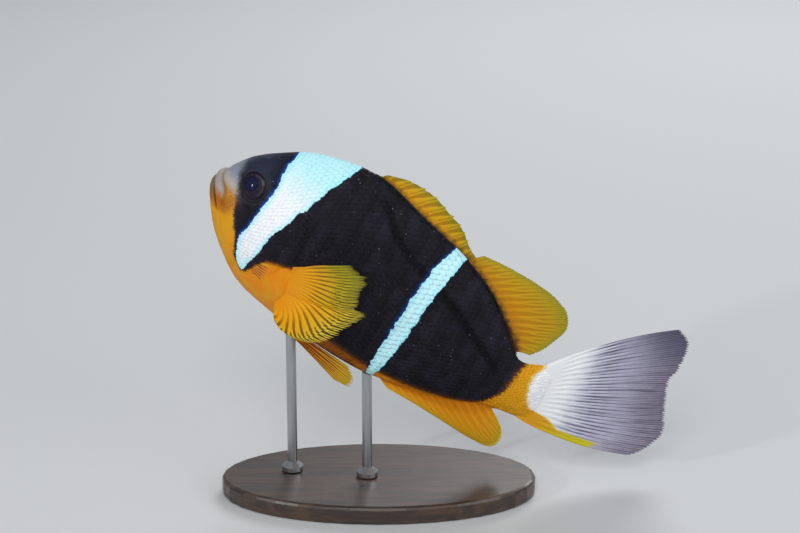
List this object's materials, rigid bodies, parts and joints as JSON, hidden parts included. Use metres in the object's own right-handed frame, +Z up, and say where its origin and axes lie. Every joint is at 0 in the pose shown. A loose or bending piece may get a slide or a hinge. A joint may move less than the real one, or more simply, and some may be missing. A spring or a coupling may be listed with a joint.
{
  "type": "clownfish display model",
  "caption": "Life-size display model of a banded anemonefish, head up and tail swung aside, held over a flat oval base by short rods.",
  "frame": {"origin": "centre of the stand's flat underside", "axes": "+Z up, +X from the head towards the tail along the long side of the base, -Y towards the fish's left side"},
  "size_m": [0.114, 0.0458, 0.0856],
  "materials": {
    "skin_black": "velvety black skin with white bars and fine scales, slightly moist sheen",
    "skin_snout": "soft grey-lilac lip skin",
    "skin_orange": "warm orange-yellow skin",
    "eye": "clear glossy eye with a dark pupil",
    "fin_yellow": "yellow-orange rays with thin darker webs",
    "fin_pale": "pale lilac-grey rays with thin see-through webs",
    "stand_wood": "dark stained wood, satin lacquer",
    "stand_steel": "plain satin steel"
  },
  "bodies": {
    "root": {"head": "skin_black", "gill_cover_left": "skin_black", "gill_cover_right": "skin_black", "upper_lip": "skin_snout", "lower_jaw": "skin_orange", "trunk": "skin_black", "tail_stem": "skin_orange", "eye_left": "eye", "eye_right": "eye", "dorsal_fin_spiny": "fin_yellow", "dorsal_fin_soft": "fin_yellow", "anal_fin": "fin_yellow", "tail_fin": "fin_pale", "pectoral_fin_left": "fin_yellow", "pectoral_fin_right": "fin_yellow", "pelvic_fin_left": "fin_yellow", "pelvic_fin_right": "fin_yellow", "stand_base": "stand_wood", "stand_rod_front": "stand_steel", "stand_rod_rear": "stand_steel"}
  },
  "joints": []
}
